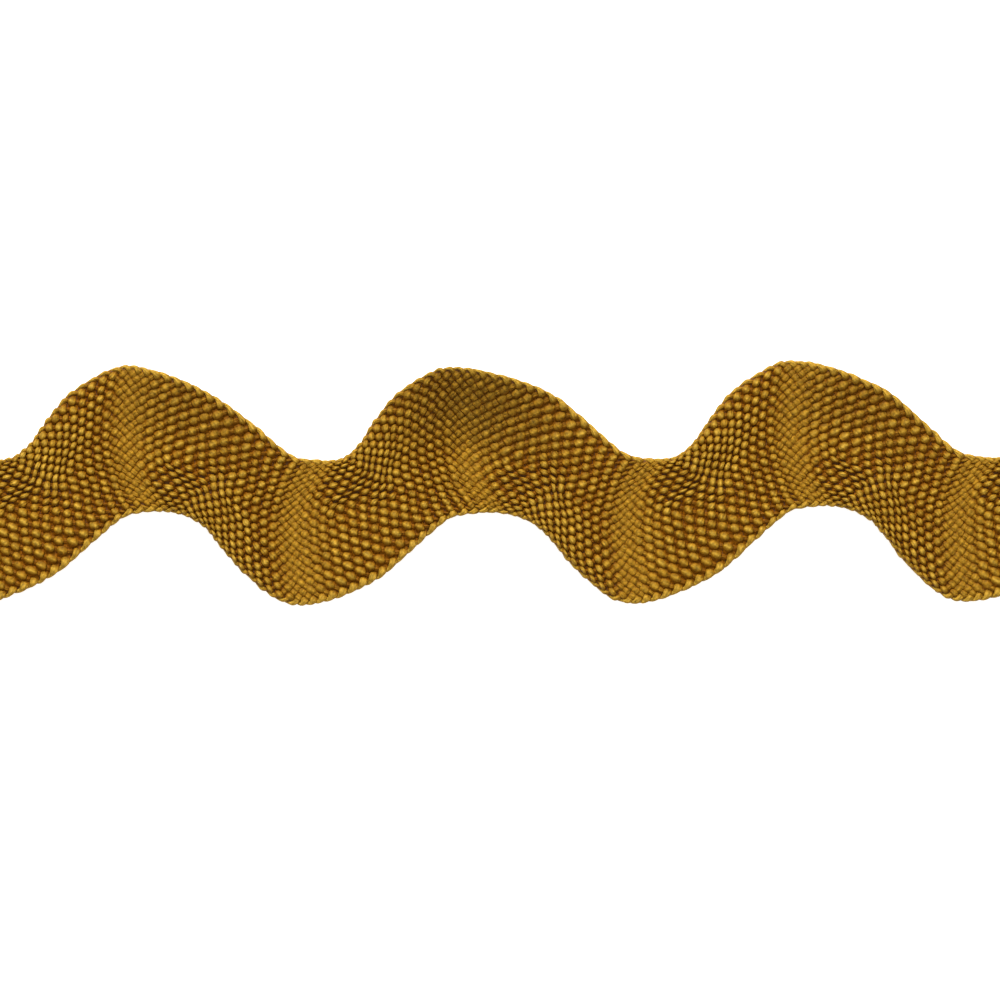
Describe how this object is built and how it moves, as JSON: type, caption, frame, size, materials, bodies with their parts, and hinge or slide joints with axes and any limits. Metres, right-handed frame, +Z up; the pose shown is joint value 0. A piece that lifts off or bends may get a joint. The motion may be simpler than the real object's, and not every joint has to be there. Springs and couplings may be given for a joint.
{
  "type": "cut length of ric rac braid trim",
  "caption": "Flat wavy ric rac braid of bulky gold yarn, lying face up; a sewing trim to stitch along an edge or on cloth.",
  "frame": {"origin": "under the middle of the braid's box, on the surface that it lies on", "axes": "+X along the braid, +Y across it towards the crests' side, +Z up out of its face"},
  "size_m": [0.167, 0.038, 0.0061],
  "materials": {
    "yarn": "soft plied yarn with a low sheen"
  },
  "bodies": {
    "root": {"ric_rac": "yarn"}
  },
  "joints": []
}
